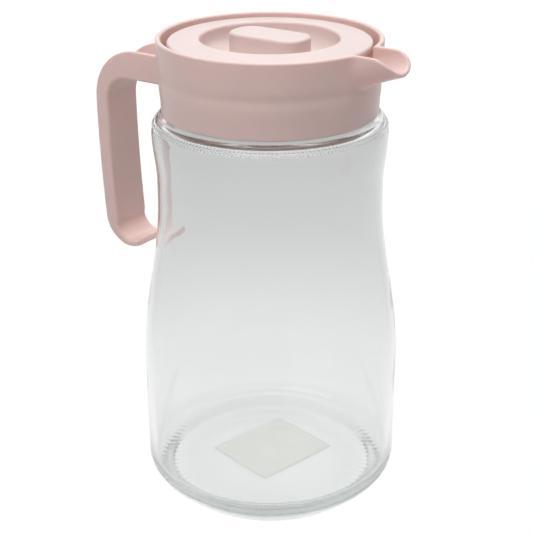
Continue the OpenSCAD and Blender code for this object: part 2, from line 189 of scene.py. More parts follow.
# the photograph's camera: out from the axis at an azimuth, above the table, pitched down; metres, degrees, mm
view = {"azimuth": 35.0, "out": 0.5529, "height": 0.3461, "down": 23.23, "roll": -0.16, "lens": 86.91,
        "sensor": 36.0, "shift": -0.0075, "nearest": 0.01}
turn = math.radians(view["azimuth"])
camera = bpy.data.objects.new("photoCamera", bpy.data.cameras.new("photoCamera"))
camera.data.lens = view["lens"]
camera.data.sensor_width = view["sensor"]
camera.data.shift_x = view["shift"]
camera.data.clip_start = view["nearest"]
camera.matrix_world = (
    Matrix.Translation((view["out"] * math.sin(turn), -view["out"] * math.cos(turn), view["height"]))
    @ Euler((math.radians(90 - view["down"]), 0, turn)).to_matrix().to_4x4()
    @ Matrix.Rotation(math.radians(view["roll"]), 4, "Z"))
bpy.context.scene.collection.objects.link(camera)
bpy.context.scene.camera = camera
bpy.context.scene.view_settings.view_transform = "Standard"
bpy.context.scene.cycles.max_bounces = 24  # thick glass passes light on many times
bpy.context.scene.cycles.glossy_bounces = 16
bpy.context.scene.cycles.transmission_bounces = 24
print("camera set")


# soda-lime glass, blown and fire polished: clear, a faint grey green where it is thick, and slow waves in
# what shows through it
def sodaLimeGlass():
    material, tree, output = startMaterial("sodaLimeGlass")
    place = addNode(tree, "ShaderNodeTexCoord")
    # blowing leaves waves of 20 to 30 mm in the wall
    waves = addNode(tree, "ShaderNodeTexNoise", {"Vector": (place, "Object"), "Scale": 38.0, "Detail": 1.0})
    bump = addNode(tree, "ShaderNodeBump", {"Height": (waves, "Fac"), "Strength": 0.12, "Distance": 0.0006})
    # the pressed base is less polished than the wall, and blurs what shows through it
    height = addNode(tree, "ShaderNodeSeparateXYZ", {"Vector": (place, "Object")})
    rough = addNode(tree, "ShaderNodeMapRange", {
        "Value": (height, "Z"), "From Min": 0.014, "From Max": 0.032, "To Min": 0.16, "To Max": 0.0})
    glass = addNode(tree, "ShaderNodeBsdfPrincipled", {
        "Base Color": toLinear("#FCFDFD"), "Roughness": (rough, "Result"), "IOR": 1.52,
        "Transmission Weight": 1.0, "Normal": (bump, "Normal")})
    seen = passLight(tree, glass, (0.94, 0.955, 0.95, 1.0))
    tree.links.new(seen.outputs[0], output.inputs["Surface"])
    # iron in the melt takes a little light out over every centimetre, and least of the green
    tint = addNode(tree, "ShaderNodeVolumeAbsorption", {"Color": (0.889, 0.901, 0.894, 1.0), "Density": 38.0})
    tree.links.new(tint.outputs[0], output.inputs["Volume"])
    return material


# satin polypropylene, injection moulded: an even colour under a soft wide highlight, and light that seeps
# in and comes out redder
def satinPolypropylene(name, colour, roughness):
    material, tree, output = startMaterial(name)
    place = addNode(tree, "ShaderNodeTexCoord")
    # the mould's fine eroded grain, 0.4 mm between its bumps
    grain = addNode(tree, "ShaderNodeTexNoise", {"Vector": (place, "Object"), "Scale": 2500.0, "Detail": 2.0})
    bump = addNode(tree, "ShaderNodeBump", {"Height": (grain, "Fac"), "Strength": 0.25, "Distance": 0.00004})
    # slow unevenness of the flow, about 15 mm across, in the colour and the gloss
    flow = addNode(tree, "ShaderNodeTexNoise", {"Vector": (place, "Object"), "Scale": 65.0, "Detail": 2.0})
    full = toLinear(colour)
    darker = (*(0.985 * level for level in full[:3]), 1.0)
    tone = addRamp(tree, (flow, "Fac"), ((0.35, darker), (0.65, full)))
    rough = addNode(tree, "ShaderNodeMapRange", {
        "Value": (flow, "Fac"), "From Min": 0.3, "From Max": 0.7,
        "To Min": roughness - 0.03, "To Max": roughness + 0.03})
    plastic = addNode(tree, "ShaderNodeBsdfPrincipled", {
        "Base Color": (tone, "Color"), "Roughness": (rough, "Result"), "IOR": 1.49,
        "Subsurface Weight": 0.4, "Subsurface Radius": (1.0, 0.48, 0.35), "Subsurface Scale": 0.003,
        "Normal": (bump, "Normal")})
    # each face of a wall passes six tenths of the light, so a wall passes about a third, a little warmer
    seen = passLight(tree, plastic, (0.70, 0.59, 0.52, 1.0))
    tree.links.new(seen.outputs[0], output.inputs["Surface"])
    return material


# food-grade silicone rubber, pressed: milky and dull, with fine dust on it, and gives a little light through
def milkySilicone():
    material, tree, output = startMaterial("milkySilicone")
    place = addNode(tree, "ShaderNodeTexCoord")
    dust = addNode(tree, "ShaderNodeTexNoise", {"Vector": (place, "Object"), "Scale": 900.0, "Detail": 3.0})
    tone = addRamp(tree, (dust, "Fac"), ((0.0, toLinear("#DCDBD6")), (1.0, toLinear("#EBEAE6"))))
    bump = addNode(tree, "ShaderNodeBump", {"Height": (dust, "Fac"), "Strength": 0.3, "Distance": 0.00005})
    rubber = addNode(tree, "ShaderNodeBsdfPrincipled", {
        "Base Color": (tone, "Color"), "Roughness": 0.55, "IOR": 1.41, "Subsurface Weight": 0.4,
        "Subsurface Radius": (1.0, 0.9, 0.8), "Subsurface Scale": 0.002, "Normal": (bump, "Normal")})
    tree.links.new(rubber.outputs[0], output.inputs["Surface"])
    return material


# coated label paper: near white, faint fibre clouds of 1.5 mm, dull sheen
def coatedPaper():
    material, tree, output = startMaterial("coatedPaper")
    place = addNode(tree, "ShaderNodeTexCoord")
    fibre = addNode(tree, "ShaderNodeTexNoise", {
        "Vector": (place, "Object"), "Scale": 650.0, "Detail": 5.0, "Roughness": 0.65})
    tone = addRamp(tree, (fibre, "Fac"), ((0.3, toLinear("#E2DDD8")), (0.7, toLinear("#EFEAE5"))))
    bump = addNode(tree, "ShaderNodeBump", {"Height": (fibre, "Fac"), "Strength": 0.3, "Distance": 0.00005})
    paper = addNode(tree, "ShaderNodeBsdfPrincipled", {
        "Base Color": (tone, "Color"), "Roughness": 0.6, "IOR": 1.5, "Normal": (bump, "Normal")})
    tree.links.new(paper.outputs[0], output.inputs["Surface"])
    return material


clearGlass = sodaLimeGlass()
collarPlastic = satinPolypropylene("satinPolypropyleneCollar", "#ECD0CB", 0.36)
# painted sheen: the lid's pink is a paler, greyer copy of the collar's, standing in for the whitish gloss on
# its top faces; the plug shares it
lidPlasticPaintedSheen = satinPolypropylene("satinPolypropyleneLidPaintedSheen", "#E6D3CF", 0.33)
silicone = milkySilicone()
labelPaper = coatedPaper()
print("materials made")

# screw thread of the neck, and of the collar, "nut": two ridges, right-handed, one lead of 12 mm a turn
thread = {"lead": 12.0, "starts": 2, "from": 186.6, "to": 198.0, "fade": 2.2, "rise": 1.8, "half": 0.95,
          "nutRise": 1.9, "nutHalf": 0.8, "nutShift": -2.9}


# height of the ridges at an angle and a height: a flat-topped bell across the nearest ridge, e to the power
# -(across / half) to the fourth, which fades out smoothly at both ends of the thread
def threadRidge(angle, z, shift, rise, half):
    pitch = thread["lead"] / thread["starts"]
    across = np.mod(z - shift - thread["lead"] * angle / (2 * np.pi) + pitch / 2, pitch) - pitch / 2
    fade = between(z, thread["from"], thread["to"], thread["fade"])
    return rise * np.exp(-(across / half) ** 4) * (fade * fade * (3 - 2 * fade))


# the glass, in mm and degrees: radii and heights of its outline, then its small relief
jar = {"footOuter": 48.0, "footInner": 46.4, "footEdge": 0.56, "puntRise": 1.6, "puntCurve": 4,
       "heelArc": 13.0, "heelAngle": 47.0, "belly": 59.75, "bellyTop": 66.0, "waist": 51.2,
       "waistFrom": 146.0, "waistTo": 154.0, "shoulder": 53.0, "shoulderZ": 175.5, "shoulderArc": 9.5,
       "neck": 43.0, "rootArc": 0.525, "top": 200.0, "wall": 3.5, "floorZ": 12.5, "floorCrown": 0.5,
       "cornerArc": 4.8, "softness": 0.4, "rows": 196, "turns": 504,
       "bead": 0.85, "beadAt": 54.0, "beadHalf": 10.0,  # on the shoulder's arc, at degrees up it
       "ticks": 84, "tickRise": 0.07, "tickFrom": 46.8, "tickTo": 55.0, "tickFade": 0.5,  # under the foot
       "markRise": 0.24, "markFrom": 47.3, "markTo": 53.0, "markFade": 0.6,  # as many, on the floor
       "ringDeep": 0.5, "ringAt": 51.4, "ringHalf": 0.7}  # at the edge of the floor


# outside radius of the wall: the belly, drawn in to the waist and out to the shoulder by half cosine waves
def jarSide(z):
    return (jar["belly"] + (jar["waist"] - jar["belly"]) * halfWave(z, jar["bellyTop"], jar["waistFrom"])
            + (jar["shoulder"] - jar["waist"]) * halfWave(z, jar["waistTo"], jar["shoulderZ"]))


# hollow under the base: its rise times (1 - (radius / foot radius) to the power 4) squared
def puntHeight(radius):
    return jar["puntRise"] * (1 - (radius / jar["footInner"]) ** jar["puntCurve"]) ** 2


# the outline of the glass as (r, z), of arcs and jarSide: out from the middle of the punt, up the outside
# with a bell-shaped bead on the shoulder, over the lip, and down the inside to the middle of the floor
def jarOutline():
    heelTurn = math.radians(jar["heelAngle"])
    heelTop = jar["belly"] - jar["heelArc"] * (1 - math.cos(heelTurn))
    heelZ = jar["heelArc"] * math.sin(heelTurn) + (heelTop - jar["footOuter"]) / math.tan(heelTurn)
    centre = jar["shoulder"] - jar["shoulderArc"]
    lip, neckIn = jar["wall"] / 2, jar["neck"] - jar["wall"]
    shoulderIn, shoulderTop = jar["shoulderArc"] - jar["wall"], jar["shoulderZ"] + jar["shoulderArc"]
    floorIn = jar["belly"] - jar["wall"] - jar["cornerArc"]
    side = np.linspace(jar["bellyTop"], jar["shoulderZ"], 160)
    punt = np.linspace(0, jar["footInner"], 60)
    floor = np.linspace(floorIn, 0, 40)[1:]
    up = np.linspace(1, 90, 60)
    arc = jar["shoulderArc"] + jar["bead"] * bell(up, jar["beadAt"], jar["beadHalf"])
    edge = jar["footEdge"]
    return np.vstack([
        np.c_[punt, puntHeight(punt)],
        arcPoints(jar["footOuter"] - edge, edge, edge, -90, -jar["heelAngle"], 6),
        arcPoints(jar["belly"] - jar["heelArc"], heelZ, jar["heelArc"], -jar["heelAngle"], 0),
        np.c_[jarSide(side), side],
        np.c_[centre + arc * np.cos(np.radians(up)), jar["shoulderZ"] + arc * np.sin(np.radians(up))],
        arcPoints(jar["neck"] + jar["rootArc"], shoulderTop + jar["rootArc"], jar["rootArc"], 270, 180, 6),
        arcPoints(jar["neck"] - lip, jar["top"] - lip, lip, 0, 180, 20),
        arcPoints(centre, jar["shoulderZ"] + shoulderIn + centre - neckIn, centre - neckIn, 180, 270, 12),
        arcPoints(centre, jar["shoulderZ"], shoulderIn, 90, 0, 16)[1:],
        np.c_[jarSide(side) - jar["wall"], side][::-1][1:],
        arcPoints(floorIn, jar["floorZ"] + jar["cornerArc"], jar["cornerArc"], 0, -90, 12),
        np.c_[floor, jar["floorZ"] + jar["floorCrown"] * (1 - (floor / floorIn) ** 2)]])


# the outline turned about the axis. The thread's ridges add to r on the neck. A wave (1 - cos(ticks a)) / 2
# adds to z in a band on the floor and one under the foot, and a bell is taken off it at the floor's edge.
def glassJar():
    outline = thinLine(softenLine(jarOutline(), jar["softness"]), jar["rows"])[1:-1]
    radius, height = outline[:, :1], outline[:, 1:]
    angle = np.arange(jar["turns"]) * 2 * np.pi / jar["turns"]
    share = np.arange(len(outline))[:, None] / len(outline)
    under = (share < 1 / 3) & (height < 8)  # rows on the outside of the base
    inside = (share > 1 / 2) & (height < jar["floorZ"] + 2)  # and on the floor
    onNeck = ((radius > jar["neck"] - 0.3) & (height > jar["shoulderZ"] + jar["shoulderArc"])
              & (height < jar["top"] - 1))
    radius = radius + onNeck * threadRidge(angle, height, 0.0, thread["rise"], thread["half"])
    wave = (1 - np.cos(jar["ticks"] * angle)) / 2
    marks = inside * between(radius, jar["markFrom"], jar["markTo"], jar["markFade"]) * jar["markRise"]
    ticks = under * between(radius, jar["tickFrom"], jar["tickTo"], jar["tickFade"]) * jar["tickRise"]
    ring = inside * jar["ringDeep"] * bell(radius, jar["ringAt"], jar["ringHalf"])
    points, faces = closeRings(aboutAxis(radius, angle, height + marks * wave - ring + ticks * wave))
    points[-2][2], points[-1][2] = jar["puntRise"], jar["floorZ"] + jar["floorCrown"]
    makePiece("glassJar", points, faces, clearGlass, "jar", "glass_body")


glassJar()

# beads on the shoulder: number in a row, radius, degrees up the arc for each row, points of one bead
stud = {"count": 180, "size": 0.62, "angles": (36.0, 25.0), "rows": 6, "columns": 10}


# two rows of small glass beads, each row half a step round from the other: place on the shoulder = centre +
# arc (cos, sin) of its rise, and bead = place + size times a unit ball
def shoulderStuds():
    ball = arcPoints(0, 0, 1, -90, 90, stud["rows"] + 1)[1:-1]
    around = np.arange(stud["columns"]) * 2 * np.pi / stud["columns"]
    unit, faces = closeRings(aboutAxis(ball[:, :1], around, ball[:, 1:]))
    rise = np.radians(stud["angles"])[:, None]
    angle = (np.arange(stud["count"]) + np.array([[0], [0.5]])) * 2 * np.pi / stud["count"]
    radius = jar["shoulder"] - jar["shoulderArc"] + jar["shoulderArc"] * np.cos(rise)
    place = aboutAxis(radius, angle, jar["shoulderZ"] + jar["shoulderArc"] * np.sin(rise)).reshape(-1, 1, 3)
    points = (place + stud["size"] * unit).reshape(-1, 3)
    shift = (np.arange(len(place)) * len(unit))[:, None, None]
    allFaces = []
    for corners in (4, 3):
        one = np.array([face for face in faces if len(face) == corners])
        allFaces += (one + shift).reshape(-1, corners).tolist()
    makePiece("shoulderStuds", points, allFaces, clearGlass, "jar", "glass_body")


shoulderStuds()

# the ring with its two grooves, the spout with its trough, and the grid that their net is drawn on
collar = {"lowZ": 184.94, "rimZ": 218.0, "low": 48.5, "rim": 50.0, "wall": 2.4, "rimRound": 0.96,
          "lowRound": 0.4, "groove": 0.55, "grooveZ": 201.6, "grooveHalf": 2.7, "wave": 0.3, "waveZ": 189.5,
          "waveHalf": 4.5, "spoutFrom": 45.95, "spoutHalf": 10.5, "spoutDeep": 16.03, "spoutTilt": 20.0,
          "spoutStart": 46.75, "troughFrom": 43.4, "troughHalf": 8.5, "troughDeep": 13.9, "troughRound": 0.8,
          "reach": 68.0, "nose": 11.5, "rootRound": 2.2,
          "netTurns": 540, "netAcross": (43.8, 70.5), "netUp": (183.9, 219.5), "netCell": 0.5}


# both fields hold, their shared edge rounded: min(-r, max(a, b)) + length of (max(r + a, 0), max(r + b, 0))
def roundCut(a, b, radius):
    return (np.minimum(-radius, np.maximum(a, b))
            + np.hypot(np.maximum(radius + a, 0), np.maximum(radius + b, 0)))


# either field holds, their shared corner filled: max(r, min(a, b)) - length of (max(r - a, 0), max(r - b, 0))
def roundJoin(a, b, radius):
    return (np.maximum(radius, np.minimum(a, b))
            - np.hypot(np.maximum(radius - a, 0), np.maximum(radius - b, 0)))


# outside radius of the collar: a straight flare less two shallow bell-shaped grooves
def collarRadius(z):
    share = np.clip((z - collar["lowZ"]) / (collar["rimZ"] - collar["lowZ"]), 0, 1)
    return (collar["low"] + (collar["rim"] - collar["low"]) * share
            - collar["groove"] * bell(z, collar["grooveZ"], collar["grooveHalf"])
            - collar["wave"] * bell(z, collar["waveZ"], collar["waveHalf"]))


# distance to a trough that rises at the tilt: a round floor of its half width, straight up above it
def troughField(x, y, z, half, deep):
    tilt = math.radians(collar["spoutTilt"])
    up = (z - collar["rimZ"] + deep) * math.cos(tilt) - (x - collar["spoutStart"]) * math.sin(tilt)
    return np.hypot(y, np.minimum(up - half, 0)) - half


# distance to the collar's shell: ring and spout joined, less bore and trough, cut level and round the nose
def collarField(x, y, z):
    radius = np.hypot(x, y)
    outside = collarRadius(z)
    spout = np.maximum(troughField(x, y, z, collar["spoutHalf"], collar["spoutDeep"]),
                       collar["spoutFrom"] - x)
    solid = roundJoin(radius - outside, spout, collar["rootRound"])
    ridge = threadRidge(np.arctan2(y, x), z, thread["nutShift"], thread["nutRise"], thread["nutHalf"])
    solid = np.maximum(solid, outside - collar["wall"] - ridge - radius)
    trough = np.maximum(troughField(x, y, z, collar["troughHalf"], collar["troughDeep"]),
                        collar["troughFrom"] - x)
    solid = roundCut(solid, -trough, collar["troughRound"])
    top = roundCut(x - collar["reach"], z - collar["rimZ"], collar["nose"])
    return roundCut(roundCut(solid, top, collar["rimRound"]), collar["lowZ"] - z, collar["lowRound"])


# slope of a field on each axis: (field a step ahead - field a step back) / twice the step
def fieldSlope(field, points, step=0.02):
    slope = np.empty_like(points)
    for axis in range(3):
        move = np.zeros(3)
        move[axis] = step
        slope[:, axis] = (field(*(points + move).T) - field(*(points - move).T)) / (2 * step)
    return slope


# net over the zero of a field on a grid that closes round its first direction: one point in each crossed
# cell, at the mean of its edges' crossings, and one quad round each crossed edge
def netSurface(field, nodes):
    turns, across, up = nodes.shape[:3]
    level = field(nodes[..., 0], nodes[..., 1], nodes[..., 2])
    inside = level < 0
    wide = np.concatenate([inside, inside[:1]])
    corners = [(a, b, c) for a in (0, 1) for b in (0, 1) for c in (0, 1)]
    held = sum(wide[a:a + turns, b:b + across - 1, c:c + up - 1].astype(np.int8) for a, b, c in corners)
    crossed = (held > 0) & (held < 8)
    cellOf = np.full(crossed.shape, -1)
    cellOf[crossed] = np.arange(crossed.sum())
    i, j, k = np.nonzero(crossed)
    value = np.stack([level[(i + a) % turns, j + b, k + c] for a, b, c in corners], 1)
    place = np.stack([nodes[(i + a) % turns, j + b, k + c] for a, b, c in corners], 1)
    total, count = np.zeros((len(i), 3)), np.zeros(len(i))
    # a cell's edges join corners whose numbers differ in one bit
    for one, other in [(one, one | bit) for one in range(8) for bit in (1, 2, 4) if not one & bit]:
        cut = (value[:, one] < 0) != (value[:, other] < 0)
        share = np.where(cut, value[:, one] / np.where(cut, value[:, one] - value[:, other], 1), 0)
        total += cut[:, None] * (place[:, one] + share[:, None] * (place[:, other] - place[:, one]))
        count += cut
    # the four cells round an edge, for an edge in each of the grid's directions
    edgeCells = ([(0, -1, -1), (0, 0, -1), (0, 0, 0), (0, -1, 0)],
                 [(-1, 0, -1), (-1, 0, 0), (0, 0, 0), (0, 0, -1)],
                 [(-1, -1, 0), (0, -1, 0), (0, 0, 0), (-1, 0, 0)])
    faces = []
    for axis, cells in enumerate(edgeCells):
        a, b, c = np.nonzero(np.diff(wide if axis == 0 else inside, axis=axis))
        keep = ((axis == 1) | (b > 0) & (b < across - 1)) & ((axis == 2) | (c > 0) & (c < up - 1))
        a, b, c = a[keep], b[keep], c[keep]
        quad = np.stack([cellOf[(a + da) % turns, b + db, c + dc] for da, db, dc in cells], 1)
        faces.append(np.where(inside[a, b, c][:, None], quad[:, ::-1], quad))
    return total / count[:, None], np.vstack(faces)


# a net evened out and put back on the zero of its field: each round moves a point a share of the way to the
# mean of its neighbours, and then by -field slope / slope squared; the normals are the slope's directions
def settleNet(field, points, faces, rounds=4, share=0.6):
    here = np.r_[faces.ravel(), faces.ravel()]
    there = np.r_[np.roll(faces, -1, axis=1).ravel(), np.roll(faces, 1, axis=1).ravel()]
    links = np.bincount(here, minlength=len(points))[:, None]
    for _ in range(rounds):
        near = np.stack([np.bincount(here, points[there, axis], len(points)) for axis in range(3)], 1)
        points = points + share * (near / links - points)
        slope = fieldSlope(field, points)
        points = points - slope * (field(*points.T) / np.maximum((slope ** 2).sum(1), 0.3))[:, None]
    slope = fieldSlope(field, points)
    return points, slope / np.maximum(np.linalg.norm(slope, axis=1), 1e-6)[:, None]


# the ring and the spout: the zero of collarField on a grid of angle, radius and height about the axis
def collarShell():
    angle = np.arange(collar["netTurns"]) * 2 * np.pi / collar["netTurns"]
    radius = np.arange(*collar["netAcross"], collar["netCell"])
    height = np.arange(*collar["netUp"], collar["netCell"])
    a, r, z = np.meshgrid(angle, radius, height, indexing="ij")
    points, faces = netSurface(collarField, aboutAxis(r, a, z))
    points, normals = settleNet(collarField, points, faces)
    makePiece("collarShell", points, faces.tolist(), collarPlastic, "collar", "collar",
              normals)


collarShell()

# inside the collar: the throat tube, the deck it hangs from, and the cup with its gate to the spout
deck = {"throatIn": 37.4, "throatOut": 39.1, "throatZ": 194.0, "out": 47.8, "lowZ": 202.0, "topZ": 204.0,
        "ease": 0.4, "columns": 300, "cupIn": 41.1, "cupOut": 43.1, "cupZ": 203.4, "cupTop": 213.3,
        "cupEase": 0.5, "cupColumns": 280, "gate": 11.0}


# a closed outline of (r, z) turned from angle a0 to a1, with flat ends unless it goes all the way round
def turnLoop(loop, a0, a1, count):
    whole = a1 - a0 >= 360
    angle = np.radians(np.linspace(a0, a1, count + 1))[:-1 if whole else None]
    rings = aboutAxis(loop[:, :1], angle, loop[:, 1:])
    rows, columns = rings.shape[:2]
    faces = gridFaces(rows, columns, closeRows=True, closeColumns=whole).tolist()
    if not whole:
        faces.append((np.arange(rows) * columns).tolist())
        faces.append((np.arange(rows)[::-1] * columns + columns - 1).tolist())
    return rings.reshape(-1, 3), faces


# an outline whose corners are eased: a corner c becomes (1 - s) squared start + 2 s (1 - s) c + s squared
# end, with start and end a radius away from it on its two sides
def easeCorners(loop, radius, steps=5):
    loop = np.asarray(loop, float)
    before, after = np.roll(loop, 1, axis=0) - loop, np.roll(loop, -1, axis=0) - loop
    lengthIn, lengthOut = np.linalg.norm(before, axis=1), np.linalg.norm(after, axis=1)
    cut = np.minimum(radius, 0.45 * np.minimum(lengthIn, lengthOut))[:, None]
    start, end = loop + before / lengthIn[:, None] * cut, loop + after / lengthOut[:, None] * cut
    share = np.linspace(0, 1, steps + 1)[:, None, None]
    curve = (1 - share) ** 2 * start + 2 * share * (1 - share) * loop + share ** 2 * end
    return curve.transpose(1, 0, 2).reshape(-1, 2)


# deck and throat tube as one turned outline, and the cup that guides the lid, open towards the spout
def collarDeck():
    section = [[deck["throatIn"], deck["throatZ"]], [deck["throatOut"], deck["throatZ"]],
               [deck["throatOut"], deck["lowZ"]], [deck["out"], deck["lowZ"]],
               [deck["out"], deck["topZ"]], [deck["throatIn"], deck["topZ"]]]
    points, faces = turnLoop(easeCorners(section, deck["ease"]), 0, 360, deck["columns"])
    makePiece("collarDeck", points, faces, collarPlastic, "collar", "collar")
    section = [[deck["cupIn"], deck["cupZ"]], [deck["cupOut"], deck["cupZ"]],
               [deck["cupOut"], deck["cupTop"]], [deck["cupIn"], deck["cupTop"]]]
    half = math.degrees(math.asin(deck["gate"] / deck["cupIn"]))
    points, faces = turnLoop(easeCorners(section, deck["cupEase"]), half, 360 - half, deck["cupColumns"])
    makePiece("collarCup", points, faces, collarPlastic, "collar", "collar")


collarDeck()

# the strap: a face is given by the height of its arm, the arc over to the grip, the grip's distance from
# the axis, and the bend's centre and arc
handle = {"outer": {"armZ": 203.3, "arc": 25.0, "gripX": 94.2,
                    "bendX": 77.2, "bendZ": 119.5, "bendArc": 14.5},
          "inner": {"armZ": 189.6, "arc": 12.0, "gripX": 86.8,
                    "bendX": 76.46, "bendZ": 116.14, "bendArc": 8.54},
          "rootX": 47.3, "bow": 2.5, "lean": 4.86, "tailSlope": 32.0, "tailEnd": 61.5, "tailThick": 2.6,
          "width": 22.0, "web": 2.4, "flange": 2.3, "edge": 1.6, "rootRound": 0.8, "softness": 1.6,
          "stations": 230, "tipLong": 8.0, "tipShare": 0.55, "endRound": 0.9}


# the strap's section at a depth: u across it, v from the inner face to the flanges' edges, an open channel
# whose web and rounds shrink where the depth is small
def strapSection(depth):
    half = handle["width"] / 2
    web = min(handle["web"], depth * 0.8)
    edge = min(handle["edge"], depth * 0.45)
    tip = min(handle["flange"] * 0.42, (depth - web) * 0.6)
    root = min(handle["rootRound"], (depth - web) * 0.35)
    inner = half - handle["flange"]
    return np.vstack([
        arcPoints(edge - half, edge, edge, 180, 270, 8),
        arcPoints(half - edge, edge, edge, 270, 360, 8),
        arcPoints(half - tip, depth - tip, tip, 0, 90, 5),
        arcPoints(inner + tip, depth - tip, tip, 90, 180, 5),
        arcPoints(inner - root, web + root, root, 0, -90, 4),
        arcPoints(root - inner, web + root, root, 270, 180, 4),
        arcPoints(-inner - tip, depth - tip, tip, 0, 90, 5),
        arcPoints(tip - half, depth - tip, tip, 90, 180, 5)])


# one face of the strap as (x, z): out along the arm, over an arc, down the grip, which draws in by the bow
# times the share of the way squared, round the bend, and up the tail's slope to its end
def strapFace(face, step, short):
    share = np.linspace(0, 1, 25)[1:, None]
    top = face["armZ"] - face["arc"]
    bend = arcPoints(-face["bendX"], face["bendZ"], face["bendArc"], 180 + handle["lean"],
                     270 + handle["tailSlope"], 40)
    tail = (-handle["tailEnd"] - bend[-1][0]) / step[0] - short
    return np.vstack([
        np.linspace([-handle["rootX"], face["armZ"]], [face["arc"] - face["gripX"], face["armZ"]], 24)[:-1],
        arcPoints(face["arc"] - face["gripX"], top, face["arc"], 90, 180, 40),
        np.hstack([-face["gripX"] + handle["bow"] * share ** 2, top + (face["bendZ"] - top) * share]),
        bend[1:], bend[-1] + share * tail * step])


# the strap: its inner face follows one curve and its outer edge another, point against point, and the channel
# section spans each pair: place = inner + v along the pair, u across
def handleStrap():
    slope = math.radians(handle["tailSlope"])
    step = np.array([math.cos(slope), math.sin(slope)])
    both = np.hstack([strapFace(handle["inner"], step, handle["tailThick"] * math.tan(slope)),
                      strapFace(handle["outer"], step, 0)])
    both = softenLine(both, handle["softness"], 0.4)
    travel = travelAlong(both)
    at = np.linspace(0, travel[-1], handle["stations"])
    both = pointsAt(both, travel, at)
    inside, outside = both[:, :2], both[:, 2:]
    depth = np.linalg.norm(outside - inside, axis=1)
    towards = (outside - inside) / depth[:, None]
    sections = np.stack([strapSection(d) for d in depth])
    # the tip narrows on a part of an ellipse
    left = np.clip(1 - (travel[-1] - at) / handle["tipLong"], 0, 1)
    sections[:, :, 0] *= (1 - handle["tipShare"] * (1 - np.sqrt(1 - left ** 2)))[:, None]
    rings = np.stack([inside[:, :1] + towards[:, :1] * sections[:, :, 1], sections[:, :, 0],
                      inside[:, 1:] + towards[:, 1:] * sections[:, :, 1]], 2)
    # the moulded end: the last section shrinks on a quarter round
    swing = np.radians(np.linspace(0, 90, 7)[1:-1])[:, None, None]
    middle, size = rings[-1].mean(axis=0), handle["endRound"]
    ahead = np.array([step[0], 0, step[1]])
    last = rings[-1] - middle
    reach = np.maximum(np.linalg.norm(last, axis=1), 1e-6)[:, None]
    end = middle + last * (1 - size * (1 - np.cos(swing)) / reach) - ahead * size * (1 - np.sin(swing))
    rings[-1] -= ahead * size
    points, faces = closeRings(np.concatenate([rings, end]))
    makePiece("handleStrap", points, faces, collarPlastic, "collar", "collar")


handleStrap()

# the disc and its round recess, the skirt below it, and the grip bar with the hollow inside it
lid = {"radius": 45.0, "edgeZ": 216.4, "topZ": 217.4, "underZ": 213.6, "round": 1.26, "lowRound": 0.5,
       "wall": 2.0, "recess": 30.5, "recessZ": 207.4, "recessArc": 7.0, "skirtOut": 38.6, "skirtIn": 37.1,
       "skirtZ": 210.6, "skirtEase": 0.3, "barLong": 37.5, "barWide": 19.5, "barCorner": 8.0, "barTop": 218.9,
       "barRound": 1.3, "barFoot": 0.9, "hollowTop": 0.8, "hollowFoot": 0.5, "gap": 0.3, "columns": 288}


# the bar's core rectangle, which lies its corner radius inside the bar's sides, and the normals that lead
# out from it: columns at even steps round the bar, the normal turning a quarter at each corner
def barCore():
    corner = lid["barCorner"]
    long, wide = lid["barLong"] / 2 - corner, lid["barWide"] / 2 - corner
    quarter = math.pi * corner / 2
    legs = np.cumsum([0] + [2 * wide, quarter, 2 * long, quarter] * 2)
    along = np.arange(lid["columns"]) * legs[-1] / lid["columns"]
    turned = np.radians(np.interp(along, legs, [0, 0, 90, 90, 180, 180, 270, 270, 360]))
    coreX = np.interp(along, legs, [long, long, long, -long, -long, -long, -long, long, long])
    coreY = np.interp(along, legs, [-wide, wide, wide, wide, wide, -wide, -wide, -wide, -wide])
    return np.c_[coreX, coreY], np.c_[np.cos(turned), np.sin(turned)]


